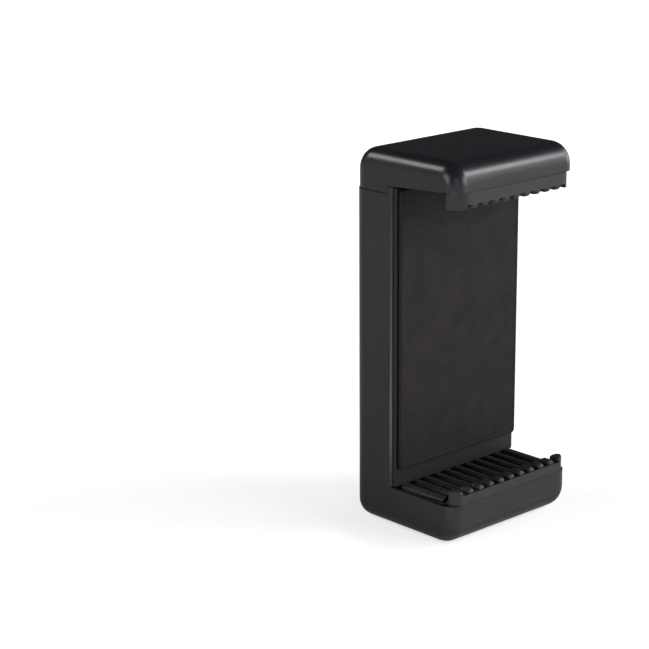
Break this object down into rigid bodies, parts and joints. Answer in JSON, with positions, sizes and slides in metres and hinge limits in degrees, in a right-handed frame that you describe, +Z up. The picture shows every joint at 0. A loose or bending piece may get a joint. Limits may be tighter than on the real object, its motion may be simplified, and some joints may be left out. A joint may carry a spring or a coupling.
{
  "type": "spring phone holder",
  "caption": "Upright black phone clamp: a sprung upper jaw slides over a channel-shaped back with a fixed lower jaw, ribbed hooked pads, a padded cradle and threaded brass tripod inserts.",
  "frame": {"origin": "middle of the bottom face, the outer face of the fixed lower jaw", "axes": "+Z up along the jaw's travel, +Y towards the back face with the rear insert, -Y towards the phone, X across the width"},
  "size_m": [0.0352, 0.0286, 0.078],
  "materials": {
    "satin_black_plastic": "satin moulded, fine spark texture",
    "matt_black_plastic": "matt moulded",
    "grained_sheet": "matt, fine pebbled grain",
    "black_rubber": "moulded rubber, slight sheen",
    "brass": "turned and knurled",
    "spring_steel": "bright drawn wire"
  },
  "bodies": {
    "holder": {"rear_housing": "satin_black_plastic", "front_plate": "matt_black_plastic", "cradle_pad": "grained_sheet", "lower_jaw_pad": "black_rubber", "rear_insert": "brass", "end_insert": "brass", "plate_screw_low": "spring_steel", "plate_screw_top": "spring_steel", "spring_left": "spring_steel", "spring_right": "spring_steel"},
    "jaw": {"sliding_jaw": "satin_black_plastic", "upper_jaw_pad": "black_rubber"}
  },
  "joints": [
    {"name": "jaw_slide", "type": "slide", "parent": "holder", "child": "jaw", "axis": [0, 0, 1], "range_m": [0, 0.028], "stiffness_N_per_m": 350, "springref_m": -0.01, "deforming": ["spring_left", "spring_right"]}
  ]
}
